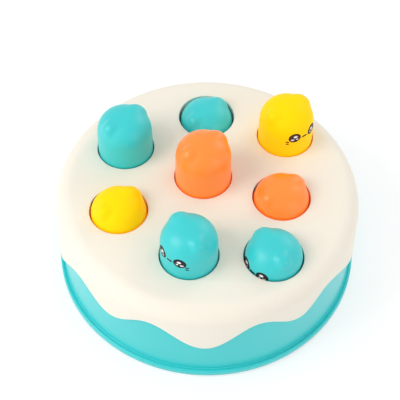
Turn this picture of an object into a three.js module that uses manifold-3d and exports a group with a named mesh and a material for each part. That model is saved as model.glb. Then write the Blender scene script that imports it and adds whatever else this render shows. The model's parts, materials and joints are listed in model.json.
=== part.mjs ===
// A round press-and-pop mole game, shaped like an iced cake, in millimetres with +Z up.
// The origin is on the table under the middle of the toy, and -Y is its front.
// Eight moles stand in pairs on four see-saw levers: pressing one down lifts its partner.
import * as THREE from "three";
import { mergeVertices } from "three/addons/utils/BufferGeometryUtils.js";
import Module from "manifold-3d";

const wasm = await Module();
wasm.setup();

// Clearances, and how far a cutting tool passes the face that it cuts
const FIT_GAP = 0.25;
const RUNNING_GAP = 0.6;
const STOP_GAP = 0.4;
const PIN_GAP = 0.12;
const OVERRUN = 2;
const WELD_DISTANCE = 0.0001;

// Moles: the sliding body, its crown and its two ears
const HOLE_RADIUS = 19.6;
const MOLE_GAP = 0.5;
const MOLE_TAPER = 0.5;
const SHOULDER_RISE = 7.4;
const CROWN_RISE = 22.9;
const CROWN_POWER = 2.15;
const EAR_RADIUS = 14.4;
const EAR_PROUD = 1.9;
const EAR_WIDTH = 5.3;
const EAR_POWER = 3;
const CAP_WALL = 2;
const INNER_CROWN_SHARE = 0.66;
const CAP_BOSS_RADIUS = 3.4;

// Plungers: the flange that stops a mole from being pulled out, and the fork under it
const FLANGE_LIP = 1.2;
const FLANGE_THICKNESS = 1.8;
const PLUG_HEIGHT = 5;
const PLUG_WALL = 1.8;
const FORK_CHEEK = 2.4;
const FORK_WIDTH = 10;
const CROSS_BAR_RADIUS = 2;

// Levers: one under each pair of holes
const HOLE_WEB = 15.2;
const STROKE = 30;
const LEVER_THICKNESS = 6;
const ARM_HEIGHT = 6.4;
const HUB_RADIUS = 4.8;
const PRONG_HEIGHT = 1.8;
const LEVER_TIP_OVERLAP = 1.2;
const PIN_RADIUS = 1.5;
const FLOOR_GAP = 0.6;
// The see-saw's height follows the tangent of its tilt, and this much more tilt lets a
// constant ratio of lift to tilt stay within the play of the cross bar in its slot.
const TILT_MARGIN_SHARE = 0.023;

// Tray, drum and iced cover
const FOOT_PROUD = 1;
const FOOT_RADIUS = 7;
const FOOT_RECESS = 0.8;
const TRAY_FLOOR = 2.4;
const RIM_HEIGHT = 5.5;
const RIM_WIDTH = 2.65;
const DRUM_WALL = 2.2;
const DRUM_RING_WIDTH = 2;
const WALL_DRAFT_DEG = 1.72;
const DECK_MARGIN = 0.4;
const SHOULDER_RADIUS = 12;
const SKIRT_WALL = 2.2;
const DECK_THICKNESS = 2.5;
const GUIDE_LENGTH = 16.1;
const DRIP_DEPTH = 41;
const SLEEVE_WALL = 1.6;
const SHELF_WIDTH = 1.6;

// Lever posts on the tray
const POST_THICKNESS = 3;
const POST_HEAD_RADIUS = 4.4;
const POST_FOOT_HALF = 7;

// Screws: five hold the cover down on the drum, and one holds each cap on its plunger
const SCREW_SHANK_RADIUS = 1.45;
const SCREW_HEAD_RADIUS = 2.8;
const SCREW_HEAD_HEIGHT = 1.9;
const HEAD_CROWN_SHARE = 0.8;
const CASE_SCREW_LENGTH = 16;
const CAP_SCREW_LENGTH = 10;
const CASE_BOSS_RADIUS = 4.3;
const CASE_BOSS_MARGIN = 5;
const TRAY_BOSS_HEIGHT = 5;
const COUNTERBORE_DEPTH = 2.6;

// Counts of copies and of facets
const CASE_SCREWS = 5;
const CASE_SCREW_TURN_DEG = -8;
const BODY_FACETS = 60;
const HOLE_FACETS = 24;
const CAP_FACETS = 20;
const SMALL_FACETS = 12;
const SCREW_FACETS = 8;
const DRIP_STEPS = 120;
const SHOULDER_STEPS = 5;
const RIM_STEPS = 4;
const CROWN_STEPS = 6;

const COLOURS = { teal: 0x45cfd0, yellow: 0xffd90f, orange: 0xff9447, cream: 0xf7efe0 };

// Each pair's lever: its middle as shares of the spacing between two holes, the way that it
// points, and how far its first mole stands above mid-stroke as a share of half the stroke.
// Each mole: its name, its colour and the way that it faces, square to its ears.
const PAIRS = [
  { name: "left", place: [-1.065, 0.075], heading: 90, lift: 0.69,
    moles: [["back_left", "teal", 136], ["left", "yellow", 136]] },
  { name: "middle", place: [-0.062, 0.655], heading: -90, lift: 0.905,
    moles: [["centre", "orange", 136], ["back", "teal", 136]] },
  { name: "right", place: [0.937, 0.374], heading: 87.5, lift: 0.67,
    moles: [["back_right", "yellow", -45], ["right", "orange", 136]] },
  { name: "front", place: [0.324, -1.022], heading: 181.5, lift: 0.485,
    moles: [["front_left", "teal", -150], ["front_right", "teal", -150]] },
];

// The icing's lower edge: azimuth, and how far it hangs as a share of the drip depth
const DRIP_SHARES = [
  [-170.5, 0.99], [-141.5, 0.2], [-125.5, 0.5], [-109, 0.165], [-88.5, 0.635],
  [-68.5, 0.12], [-51.7, 0.46], [-38, 0.135], [-6.5, 0.82], [22, 0.18],
  [44, 0.55], [63, 0.15], [88, 0.72], [112, 0.15], [133, 0.5], [152, 0.18],
];

const radians = THREE.MathUtils.degToRad;

// Sizes that follow from the ones above

const leverSpan = 2 * HOLE_RADIUS + HOLE_WEB;
const arm = leverSpan / 2;
const halfStroke = STROKE / 2;
const tiltLimit = Math.atan((1 + TILT_MARGIN_SHARE) * halfStroke / arm);
const liftPerTilt = halfStroke / tiltLimit;

const slotHalf = CROSS_BAR_RADIUS + RUNNING_GAP;
const forkHalfHeight = slotHalf + PRONG_HEIGHT;
const slotStart = arm - slotHalf;
const leverReach = arm / Math.cos(tiltLimit) + LEVER_TIP_OVERLAP;
const forkGap = LEVER_THICKNESS + 2 * RUNNING_GAP;

const pinLength = forkGap + 2 * POST_THICKNESS;

const floorTop = FOOT_PROUD + TRAY_FLOOR;
const tipDrop = leverReach * Math.sin(tiltLimit) + forkHalfHeight * Math.cos(tiltLimit);
const pivotHeight = floorTop + FLOOR_GAP + tipDrop;

const flangeRadius = HOLE_RADIUS + FLANGE_LIP;
const armTopAtFlange = ARM_HEIGHT / 2 / Math.cos(tiltLimit)
  - (arm - flangeRadius) * Math.tan(tiltLimit);
const lowestFlange = pivotHeight + Math.max(armTopAtFlange, 0) + RUNNING_GAP;
const middleFlange = lowestFlange + halfStroke;
const linkDrop = middleFlange - pivotHeight;
const sleeveBottom = lowestFlange + STROKE + FLANGE_THICKNESS + STOP_GAP;
const cakeHeight = sleeveBottom + GUIDE_LENGTH;
const capHeight = cakeHeight + CROWN_RISE - middleFlange - FLANGE_THICKNESS;
const capRadius = HOLE_RADIUS - MOLE_GAP;
const capInnerRadius = capRadius - CAP_WALL;
const crownRadius = capRadius - MOLE_TAPER;
const shoulderHeight = cakeHeight + SHOULDER_RISE - middleFlange - FLANGE_THICKNESS;
const crownHeight = capHeight - shoulderHeight;

const pairs = PAIRS.map((pair) => {
  const heading = radians(pair.heading);
  const middle = pair.place.map((share) => share * leverSpan);
  const tilt = pair.lift * tiltLimit;
  const moles = pair.moles.map(([name, colour, facing], i) => {
    const side = i ? -1 : 1;
    return {
      name,
      colour,
      facing: radians(facing),
      x: middle[0] + side * arm * Math.cos(heading),
      y: middle[1] + side * arm * Math.sin(heading),
      lift: side * liftPerTilt * tilt,
    };
  });
  return { name: pair.name, x: middle[0], y: middle[1], heading, tilt, moles };
});
const moles = pairs.flatMap((pair) => pair.moles.map((mole) => ({ ...mole, heading: pair.heading })));

const farthestHole = Math.max(...moles.map((mole) => Math.hypot(mole.x, mole.y)));
const deckRadius = farthestHole + HOLE_RADIUS + DECK_MARGIN;
const shoulderBottom = cakeHeight - SHOULDER_RADIUS;
const draft = Math.tan(radians(WALL_DRAFT_DEG));
const skirtRadiusAt = (z) => deckRadius + SHOULDER_RADIUS + (shoulderBottom - z) * draft;
const drumRadiusAt = (z) => skirtRadiusAt(z) - SKIRT_WALL - FIT_GAP;
const drumTop = shoulderBottom - FIT_GAP;
const trayRadius = drumRadiusAt(floorTop) + FIT_GAP + RIM_WIDTH;
const rimTop = FOOT_PROUD + RIM_HEIGHT;
const drumInnerFoot = drumRadiusAt(floorTop) - DRUM_WALL;
const caseScrewRing = drumRadiusAt(drumTop) - DRUM_WALL - CASE_BOSS_RADIUS - CASE_BOSS_MARGIN;
const trayBossTop = floorTop + TRAY_BOSS_HEIGHT;
const deckUnderside = cakeHeight - DECK_THICKNESS;

// Solids: a closed three.js geometry becomes a manifold, and a manifold becomes a geometry

function solid(geometry) {
  const bare = geometry.clone();
  bare.deleteAttribute("normal");
  bare.deleteAttribute("uv");
  const merged = mergeVertices(bare, WELD_DISTANCE);
  return new wasm.Manifold(new wasm.Mesh({
    numProp: 3,
    vertProperties: merged.attributes.position.array,
    triVerts: new Uint32Array(merged.index.array),
  }));
}

function geometryOf(manifold) {
  const { vertProperties, triVerts } = manifold.getMesh();
  const geometry = new THREE.BufferGeometry()
    .setAttribute("position", new THREE.BufferAttribute(vertProperties, 3))
    .setIndex(new THREE.BufferAttribute(triVerts, 1));
  geometry.computeVertexNormals();
  return geometry;
}

const join = (...manifolds) => manifolds.reduce((sum, one) => sum.add(one));
const cut = (body, ...tools) => tools.reduce((rest, tool) => rest.subtract(tool), body);

// A body of revolution about +Z from a profile of [radius, height] that runs up its outside
function turned(profile, facets) {
  const points = profile.map(([r, z]) => new THREE.Vector2(r, z));
  return solid(new THREE.LatheGeometry(points, facets).rotateX(Math.PI / 2));
}

const rod = (radius, low, high, facets) =>
  turned([[0, low], [radius, low], [radius, high], [0, high]], facets);

const block = (sizeX, sizeY, low, high) =>
  solid(new THREE.BoxGeometry(sizeX, sizeY, high - low).translate(0, 0, (low + high) / 2));

const turnedTo = (manifold, angle, x, y) =>
  manifold.rotate([0, 0, THREE.MathUtils.radToDeg(angle)]).translate([x, y, 0]);

// A rod along the local Y axis, for pins and their bores
function crossRod(radius, length, z, facets) {
  const geometry = new THREE.CylinderGeometry(radius, radius, length, facets);
  return solid(geometry.translate(0, 0, z));
}

const screwAngles = Array.from({ length: CASE_SCREWS }, (_, i) =>
  radians(CASE_SCREW_TURN_DEG) + (2 * Math.PI * i) / CASE_SCREWS);
const footAngles = screwAngles.map((angle) => angle + Math.PI / CASE_SCREWS);
const onRing = (radius, angle) => [radius * Math.cos(angle), radius * Math.sin(angle)];

// Base tray: a floor with an upstanding rim, a ring that locates the drum, lever posts and
// screw bosses

function postPair(pair) {
  const outline = new THREE.Shape();
  outline.moveTo(-POST_FOOT_HALF, floorTop - TRAY_FLOOR / 2);
  outline.lineTo(POST_FOOT_HALF, floorTop - TRAY_FLOOR / 2);
  outline.lineTo(POST_HEAD_RADIUS, pivotHeight);
  outline.absarc(0, pivotHeight, POST_HEAD_RADIUS, 0, Math.PI);
  outline.closePath();
  const options = { depth: POST_THICKNESS, bevelEnabled: false, curveSegments: SMALL_FACETS / 2 };
  const post = solid(new THREE.ExtrudeGeometry(outline, options).rotateX(Math.PI / 2));
  const inner = forkGap / 2;
  const posts = join(
    post.translate([0, -inner, 0]),
    post.translate([0, inner + POST_THICKNESS, 0]),
  );
  const bore = crossRod(PIN_RADIUS + PIN_GAP, pinLength + OVERRUN, pivotHeight, SMALL_FACETS);
  return turnedTo(cut(posts, bore), pair.heading, pair.x, pair.y);
}

function baseTray() {
  const rimRound = RIM_WIDTH / 2;
  const rimMiddle = trayRadius - rimRound;
  const rimArc = Array.from({ length: RIM_STEPS + 1 }, (_, i) => {
    const angle = (Math.PI * i) / RIM_STEPS;
    return [rimMiddle + rimRound * Math.cos(angle), rimTop - rimRound + rimRound * Math.sin(angle)];
  });
  const ringOuter = drumInnerFoot - FIT_GAP;
  const ringInner = ringOuter - DRUM_RING_WIDTH;
  const dish = turned([
    [0, FOOT_PROUD], [trayRadius - rimRound / 2, FOOT_PROUD], [trayRadius, FOOT_PROUD + rimRound / 2],
    ...rimArc, [trayRadius - RIM_WIDTH, floorTop], [ringOuter, floorTop], [ringOuter, rimTop],
    [ringInner, rimTop], [ringInner, floorTop], [0, floorTop],
  ], BODY_FACETS);
  const bosses = screwAngles.map((angle) =>
    rod(CASE_BOSS_RADIUS, floorTop - TRAY_FLOOR / 2, trayBossTop, SMALL_FACETS)
      .translate([...onRing(caseScrewRing, angle), 0]));
  const bores = screwAngles.map((angle) =>
    join(
      rod(SCREW_SHANK_RADIUS + FIT_GAP, 0, trayBossTop + OVERRUN, SMALL_FACETS),
      rod(SCREW_HEAD_RADIUS + FIT_GAP, 0, FOOT_PROUD + COUNTERBORE_DEPTH, SMALL_FACETS),
    ).translate([...onRing(caseScrewRing, angle), 0]));
  const recesses = footAngles.map((angle) =>
    rod(FOOT_RADIUS + FIT_GAP, 0, FOOT_PROUD + FOOT_RECESS, SMALL_FACETS)
      .translate([...onRing(caseScrewRing, angle), 0]));
  return cut(join(dish, ...bosses, ...pairs.map(postPair)), ...bores, ...recesses);
}

// Drum: the plain tapered wall of the cake, held between the tray and the cover

function drumWall() {
  const foot = drumRadiusAt(floorTop);
  const top = drumRadiusAt(drumTop);
  return turned([
    [foot - DRUM_WALL, floorTop], [foot, floorTop], [top, drumTop], [top - DRUM_WALL, drumTop],
    [foot - DRUM_WALL, floorTop],
  ], BODY_FACETS);
}

// Iced cover: a flat deck with eight guide sleeves, a round shoulder and a dripping skirt

function dripHeight(azimuth) {
  const turn = (angle) => ((angle % 360) + 360) % 360;
  const start = DRIP_SHARES[0][0];
  const at = turn(azimuth - start);
  const stops = DRIP_SHARES.map(([angle, share]) => [turn(angle - start), share]);
  stops.push([360, stops[0][1]]);
  const next = stops.findIndex(([angle]) => angle > at);
  const [fromAngle, fromShare] = stops[next - 1];
  const [toAngle, toShare] = stops[next];
  const way = (1 - Math.cos((Math.PI * (at - fromAngle)) / (toAngle - fromAngle))) / 2;
  return shoulderBottom - DRIP_DEPTH * (fromShare + (toShare - fromShare) * way);
}

// A wall that fills everything under the icing's edge
function dripCutter() {
  const inner = drumRadiusAt(drumTop) - DRUM_WALL;
  const outer = trayRadius + OVERRUN;
  const vertices = [];
  const faces = [];
  for (let i = 0; i < DRIP_STEPS; i++) {
    const azimuth = (360 * i) / DRIP_STEPS;
    const edge = dripHeight(azimuth);
    for (const [radius, z] of [[inner, 0], [outer, 0], [outer, edge], [inner, edge]])
      vertices.push(...onRing(radius, radians(azimuth)), z);
    for (let k = 0; k < 4; k++) {
      const a = 4 * i + k;
      const b = 4 * i + ((k + 1) % 4);
      const c = 4 * ((i + 1) % DRIP_STEPS) + ((k + 1) % 4);
      const d = 4 * ((i + 1) % DRIP_STEPS) + k;
      faces.push(a, c, b, a, d, c);
    }
  }
  const geometry = new THREE.BufferGeometry()
    .setAttribute("position", new THREE.Float32BufferAttribute(vertices, 3))
    .setIndex(faces);
  return solid(geometry);
}

function shoulderArc(radius, flat) {
  return Array.from({ length: SHOULDER_STEPS + 1 }, (_, i) => {
    const angle = (Math.PI / 2) * (i / SHOULDER_STEPS);
    return [flat + radius * Math.cos(angle), shoulderBottom + radius * Math.sin(angle)];
  });
}

function icingCover() {
  const lowest = shoulderBottom - DRIP_DEPTH - OVERRUN;
  const outside = turned([
    [0, lowest], [skirtRadiusAt(lowest), lowest], ...shoulderArc(SHOULDER_RADIUS, deckRadius),
    [0, cakeHeight],
  ], BODY_FACETS);
  const innerRound = SHOULDER_RADIUS - DECK_THICKNESS;
  const shelfRadius = skirtRadiusAt(shoulderBottom) - SKIRT_WALL - SHELF_WIDTH;
  const cavity = turned([
    [0, lowest - OVERRUN], [skirtRadiusAt(lowest) - SKIRT_WALL, lowest - OVERRUN],
    [skirtRadiusAt(lowest) - SKIRT_WALL, lowest],
    [skirtRadiusAt(shoulderBottom) - SKIRT_WALL, shoulderBottom],
    ...shoulderArc(innerRound, shelfRadius - innerRound), [0, deckUnderside],
  ], BODY_FACETS);
  const sleeves = moles.map((mole) =>
    rod(HOLE_RADIUS + SLEEVE_WALL, sleeveBottom, deckUnderside + DECK_THICKNESS / 2, HOLE_FACETS)
      .translate([mole.x, mole.y, 0]));
  const holes = moles.map((mole) =>
    rod(HOLE_RADIUS, sleeveBottom - OVERRUN, cakeHeight + OVERRUN, HOLE_FACETS)
      .translate([mole.x, mole.y, 0]));
  const bosses = screwAngles.map((angle) =>
    rod(CASE_BOSS_RADIUS, trayBossTop, deckUnderside + DECK_THICKNESS / 2, SMALL_FACETS)
      .translate([...onRing(caseScrewRing, angle), 0]));
  const bores = screwAngles.map((angle) =>
    rod(SCREW_SHANK_RADIUS + PIN_GAP, trayBossTop - OVERRUN, trayBossTop + CASE_SCREW_LENGTH, SMALL_FACETS)
      .translate([...onRing(caseScrewRing, angle), 0]));
  const shell = cut(outside, cavity, dripCutter());
  return cut(join(shell, ...sleeves, ...bosses), ...holes, ...bores);
}

// Caps: a tapered body under a rounded crown, with two ears square to the way that it faces

const earRise = crownHeight
  * (1 - (EAR_RADIUS / crownRadius) ** CROWN_POWER) ** (1 / CROWN_POWER);

// The crown is a superellipse turned about its axis, and the ears stand out along its normal:
// v runs from 0 at the shoulder to 1 at the top
function crownPoint(azimuth, v) {
  const angle = (Math.PI / 2) * v;
  const across = Math.cos(angle) ** (2 / CROWN_POWER);
  const up = Math.sin(angle) ** (2 / CROWN_POWER);
  const radius = crownRadius * across;
  const rise = crownHeight * up;
  const normal = new THREE.Vector2(
    across ** (CROWN_POWER - 1) / crownRadius,
    up ** (CROWN_POWER - 1) / crownHeight,
  ).normalize();
  const [x, y] = onRing(radius, azimuth);
  const away = Math.hypot(x, Math.abs(y) - EAR_RADIUS, rise - earRise);
  const bump = EAR_PROUD * Math.exp(-((away / EAR_WIDTH) ** EAR_POWER));
  return [...onRing(radius + bump * normal.x, azimuth), shoulderHeight + rise + bump * normal.y];
}

function capOutside() {
  const vertices = [];
  for (let i = 0; i < CAP_FACETS; i++)
    vertices.push(...onRing(capRadius, (2 * Math.PI * i) / CAP_FACETS), 0);
  for (let j = 0; j < CROWN_STEPS; j++)
    for (let i = 0; i < CAP_FACETS; i++)
      vertices.push(...crownPoint((2 * Math.PI * i) / CAP_FACETS, j / CROWN_STEPS));
  const top = vertices.length / 3;
  vertices.push(0, 0, capHeight, 0, 0, 0);
  const faces = [];
  const ringCount = 1 + CROWN_STEPS;
  for (let i = 0; i < CAP_FACETS; i++) {
    const next = (i + 1) % CAP_FACETS;
    for (let j = 0; j < ringCount - 1; j++) {
      const a = j * CAP_FACETS;
      const b = a + CAP_FACETS;
      faces.push(a + i, a + next, b + next, a + i, b + next, b + i);
    }
    const last = (ringCount - 1) * CAP_FACETS;
    faces.push(last + i, last + next, top, next, i, top + 1);
  }
  const geometry = new THREE.BufferGeometry()
    .setAttribute("position", new THREE.Float32BufferAttribute(vertices, 3))
    .setIndex(faces);
  return solid(geometry);
}

function moleCap() {
  const innerTop = capHeight - CAP_WALL;
  const cavity = turned([
    [0, -OVERRUN], [capInnerRadius, -OVERRUN], [capInnerRadius, 0],
    [crownRadius - CAP_WALL, shoulderHeight],
    [(crownRadius - CAP_WALL) * INNER_CROWN_SHARE, shoulderHeight + crownHeight * INNER_CROWN_SHARE],
    [0, innerTop],
  ], SMALL_FACETS);
  const boss = rod(CAP_BOSS_RADIUS, 0, innerTop + CAP_WALL / 2, SMALL_FACETS);
  const bore = rod(SCREW_SHANK_RADIUS + PIN_GAP, -OVERRUN, CAP_SCREW_LENGTH, SMALL_FACETS);
  return cut(join(cut(capOutside(), cavity), boss), bore);
}

// Plungers: a retaining flange, a plug that centres the cap, and a fork with a cross bar

function plunger() {
  // The plug clears the flats of the cap's faceted bore, whichever way the cap faces
  const plugRadius = capInnerRadius * Math.cos(Math.PI / SMALL_FACETS) - FIT_GAP;
  const flange = rod(flangeRadius, 0, FLANGE_THICKNESS, HOLE_FACETS);
  const plug = cut(
    rod(plugRadius, FLANGE_THICKNESS / 2, FLANGE_THICKNESS + PLUG_HEIGHT, SMALL_FACETS),
    rod(plugRadius - PLUG_WALL, FLANGE_THICKNESS, FLANGE_THICKNESS + PLUG_HEIGHT + OVERRUN, SMALL_FACETS),
  );
  const cheekLow = -linkDrop - CROSS_BAR_RADIUS - PRONG_HEIGHT / 2;
  const cheeks = [-1, 1].map((side) =>
    block(FORK_WIDTH, FORK_CHEEK, cheekLow, FLANGE_THICKNESS / 2)
      .translate([0, (side * (forkGap + FORK_CHEEK)) / 2, 0]));
  const bar = crossRod(CROSS_BAR_RADIUS, forkGap + FORK_CHEEK, -linkDrop, SMALL_FACETS);
  const bore = rod(SCREW_SHANK_RADIUS + FIT_GAP, -OVERRUN, FLANGE_THICKNESS + OVERRUN, SMALL_FACETS);
  return cut(join(flange, plug, ...cheeks, bar), bore);
}

// Levers: a hub between two arms, each ending in an open slot that holds a cross bar

function lever() {
  const width = LEVER_THICKNESS + OVERRUN;
  const bar = block(2 * slotStart, LEVER_THICKNESS, -ARM_HEIGHT / 2, ARM_HEIGHT / 2);
  const hub = crossRod(HUB_RADIUS, LEVER_THICKNESS, 0, SMALL_FACETS);
  const endStart = slotStart - PRONG_HEIGHT;
  const ends = [-1, 1].map((side) =>
    block(leverReach - endStart, LEVER_THICKNESS, -forkHalfHeight, forkHalfHeight)
      .translate([(side * (leverReach + endStart)) / 2, 0, 0]));
  const slotLength = leverReach - arm + OVERRUN;
  const slots = [-1, 1].map((side) =>
    join(
      block(slotLength, width, -slotHalf, slotHalf).translate([side * (arm + slotLength / 2), 0, 0]),
      crossRod(slotHalf, width, 0, SMALL_FACETS).translate([side * arm, 0, 0]),
    ));
  const bore = crossRod(PIN_RADIUS + PIN_GAP, LEVER_THICKNESS + OVERRUN, 0, SMALL_FACETS);
  return cut(join(bar, hub, ...ends), bore, ...slots);
}

// Screws, with the head's underside at height 0 and the shank upwards
function screw(length) {
  const tip = SCREW_SHANK_RADIUS;
  return turned([
    [0, -SCREW_HEAD_HEIGHT], [SCREW_HEAD_RADIUS * HEAD_CROWN_SHARE, -SCREW_HEAD_HEIGHT],
    [SCREW_HEAD_RADIUS, -SCREW_HEAD_HEIGHT / 2], [SCREW_HEAD_RADIUS, 0], [SCREW_SHANK_RADIUS, 0],
    [SCREW_SHANK_RADIUS, length - tip], [0, length],
  ], SCREW_FACETS);
}

// Assembly

const materials = Object.fromEntries(Object.entries(COLOURS).map(([name, colour]) =>
  [name, new THREE.MeshStandardMaterial({ color: colour, roughness: 0.42, metalness: 0 })]));
materials.white = new THREE.MeshStandardMaterial({ color: 0xf2f1ec, roughness: 0.5, metalness: 0 });
materials.steel = new THREE.MeshStandardMaterial({ color: 0xb9bcc0, roughness: 0.3, metalness: 1 });
materials.rubber = new THREE.MeshStandardMaterial({ color: 0xd9dbd8, roughness: 0.85, metalness: 0 });

const toy = new THREE.Group();

function place(name, manifold, material, parent = toy) {
  const mesh = new THREE.Mesh(geometryOf(manifold), materials[material]);
  mesh.name = name;
  parent.add(mesh);
  return mesh;
}

place("base_tray", baseTray(), "teal");
place("drum_wall", drumWall(), "teal");
place("icing_cover", icingCover(), "cream");

screwAngles.forEach((angle, i) => {
  const mesh = place(`case_screw_${i + 1}`, screw(CASE_SCREW_LENGTH), "steel");
  mesh.position.set(...onRing(caseScrewRing, angle), FOOT_PROUD + COUNTERBORE_DEPTH);
});
footAngles.forEach((angle, i) => {
  const mesh = place(`rubber_foot_${i + 1}`,
    rod(FOOT_RADIUS, 0, FOOT_PROUD + FOOT_RECESS, SMALL_FACETS), "rubber");
  mesh.position.set(...onRing(caseScrewRing, angle), 0);
});

for (const pair of pairs) {
  const pivot = new THREE.Group();
  pivot.position.set(pair.x, pair.y, pivotHeight);
  pivot.rotation.z = pair.heading;
  toy.add(pivot);
  place(`pivot_pin_${pair.name}`, crossRod(PIN_RADIUS, pinLength, 0, SMALL_FACETS), "steel", pivot);
  const tilting = place(`lever_${pair.name}`, lever(), "white", pivot);
  tilting.rotation.y = -pair.tilt;
}

for (const mole of moles) {
  const slide = new THREE.Group();
  slide.position.set(mole.x, mole.y, middleFlange + mole.lift);
  toy.add(slide);
  const forked = place(`plunger_${mole.name}`, plunger(), "white", slide);
  forked.rotation.z = mole.heading;
  const cap = place(`mole_cap_${mole.name}`, moleCap(), mole.colour, slide);
  cap.position.z = FLANGE_THICKNESS;
  cap.rotation.z = mole.facing;
  place(`cap_screw_${mole.name}`, screw(CAP_SCREW_LENGTH), "steel", slide);
}

export default toy;
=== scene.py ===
# Looks of a press-and-pop mole game shaped like an iced cake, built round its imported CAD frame.
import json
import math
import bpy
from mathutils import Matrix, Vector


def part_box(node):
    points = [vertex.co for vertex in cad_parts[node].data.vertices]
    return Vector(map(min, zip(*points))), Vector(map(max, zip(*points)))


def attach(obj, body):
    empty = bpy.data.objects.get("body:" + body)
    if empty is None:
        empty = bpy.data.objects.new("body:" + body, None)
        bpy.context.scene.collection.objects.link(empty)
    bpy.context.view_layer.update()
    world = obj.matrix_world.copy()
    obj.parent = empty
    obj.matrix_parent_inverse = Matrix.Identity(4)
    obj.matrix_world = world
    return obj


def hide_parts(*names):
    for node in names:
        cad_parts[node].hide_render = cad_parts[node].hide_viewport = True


bl_info = {
    "name": "Iced Cake Mole Game",
    "version": (1, 0, 0),
    "blender": (4, 5, 0),
    "location": "View3D > Sidebar > Cake Game",
    "description": "Builds the moulded pieces, printed faces and studio of a press-and-pop mole game",
    "category": "Add Mesh",
}

from types import SimpleNamespace

import bmesh
import bpy
import numpy as np
from bpy.props import FloatProperty, FloatVectorProperty, PointerProperty
from mathutils import Matrix, Vector
from mathutils.geometry import tessellate_polygon

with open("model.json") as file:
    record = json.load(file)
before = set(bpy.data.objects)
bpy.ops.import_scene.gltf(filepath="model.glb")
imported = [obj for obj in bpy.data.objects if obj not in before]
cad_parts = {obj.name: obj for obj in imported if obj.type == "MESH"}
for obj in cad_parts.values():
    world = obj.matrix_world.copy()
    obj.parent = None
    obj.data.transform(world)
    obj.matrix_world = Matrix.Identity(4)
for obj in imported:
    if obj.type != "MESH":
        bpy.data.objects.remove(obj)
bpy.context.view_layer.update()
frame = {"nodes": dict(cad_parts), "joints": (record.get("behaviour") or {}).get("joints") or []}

MM = 0.001
UP = Vector((0, 0, 1))
WELD_DISTANCE = 0.002 * MM

# Moles by their hole: the plastic, and in degrees about +Z the ways from the axis to the two ears
# and the way that the printed face points
MOLES = {
    "back_left": ("teal", (49, 223), 131),
    "left": ("yellow", (49, 223), 131),
    "centre": ("orange", (44, 220), 131),
    "back": ("teal", (50, 226), 131),
    "back_right": ("yellow", (43, 218), -49.7),
    "right": ("orange", (43, 220), 131),
    "front_left": ("teal", (123, 300), -128.5),
    "front_right": ("teal", (127, 294), -137),
}

# The icing's lower edge: azimuth in degrees, and how far it hangs as a share of the drip depth
DRIP_SHARES = [
    (-170.5, 0.99), (-141.5, 0.2), (-125.5, 0.5), (-109, 0.165), (-88.5, 0.635), (-68.5, 0.12),
    (-51.7, 0.46), (-38, 0.135), (-6.5, 0.82), (22, 0.18), (44, 0.55), (63, 0.15), (88, 0.72),
    (112, 0.15), (133, 0.5), (152, 0.18),
]

SCREW_NODES = [f"case_screw_{i + 1}" for i in range(5)]
PAD_NODES = [f"rubber_foot_{i + 1}" for i in range(5)]

# Steps round the cover, the drum and tray, a hole, a boss, a pad and a mole, and over a small edge
COVER_STEPS = 720
DRUM_STEPS = 360
HOLE_STEPS = 96
BOSS_STEPS = 48
PAD_STEPS = 64
MOLE_STEPS = 144
EDGE_STEPS = 3


def length(name, millimetres, note):
    """A length property with its default in millimetres."""
    return FloatProperty(name=name, default=millimetres * MM, description=note, subtype="DISTANCE",
                         unit="LENGTH", precision=5)


def angle(name, degrees, note):
    """An angle property with its default in degrees."""
    return FloatProperty(name=name, default=math.radians(degrees), description=note, subtype="ANGLE")


def number(name, value, note, low, high):
    """A plain number property between two limits."""
    return FloatProperty(name=name, default=value, description=note, min=low, max=high)


def colour(name, value, note):
    """A linear colour property."""
    return FloatVectorProperty(name=name, default=value, description=note, subtype="COLOR", min=0,
                               max=1)


class HousingSizes(bpy.types.PropertyGroup):
    """Sizes of the iced cover, drum and tray."""
    shoulder_radius: length("Shoulder radius", 12, "Round between the deck and the skirt")
    skirt_wall: length("Skirt wall", 2.2, "Thickness of the skirt")
    deck_thickness: length("Deck thickness", 2.5, "Thickness of the flat top")
    deck_margin: length("Deck margin", 0.4, "Between the outermost hole and the shoulder")
    hole_radius: length("Hole radius", 19.6, "Radius of each mole's hole")
    hole_round: length("Hole round", 0.3, "Each hole's upper edge")
    sleeve_wall: length("Sleeve wall", 1.6, "Thickness of the guide sleeves")
    stop_gap: length("Stop gap", 0.4, "Left over a raised mole's flange")
    shelf_width: length("Shelf width", 1.6, "Step inside the shoulder over the drum")
    drip_depth: length("Drip depth", 41, "Lowest the icing hangs below the shoulder")
    lip_round: length("Lip round", 1.1, "The icing's lower edge")
    wall_draft: angle("Wall draft", 1.72, "Lean of the walls towards the top")
    fit_gap: length("Fit gap", 0.25, "Between the cover, drum and tray")
    drum_wall: length("Drum wall", 2.2, "Thickness of the drum")
    edge_round: length("Edge round", 0.3, "Edges of the drum and the tray's ring")
    rim_width: length("Rim width", 2.65, "The tray's rounded rim")
    rim_height: length("Rim height", 5.5, "The tray's rim over its underside")
    ledge_drop: length("Ledge drop", 1, "From the rim's crest to the ledge")
    bead_start: angle("Bead start", 1, "Past the rim's crest, where the drum's bead begins")
    bead_end: angle("Bead end", 30, "Past the rim's crest, where the bead ends")
    seam: length("Seam", 0.02, "Between the drum's foot and the tray")
    tray_ring: length("Tray ring", 2, "Ring that centres the drum")


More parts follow.
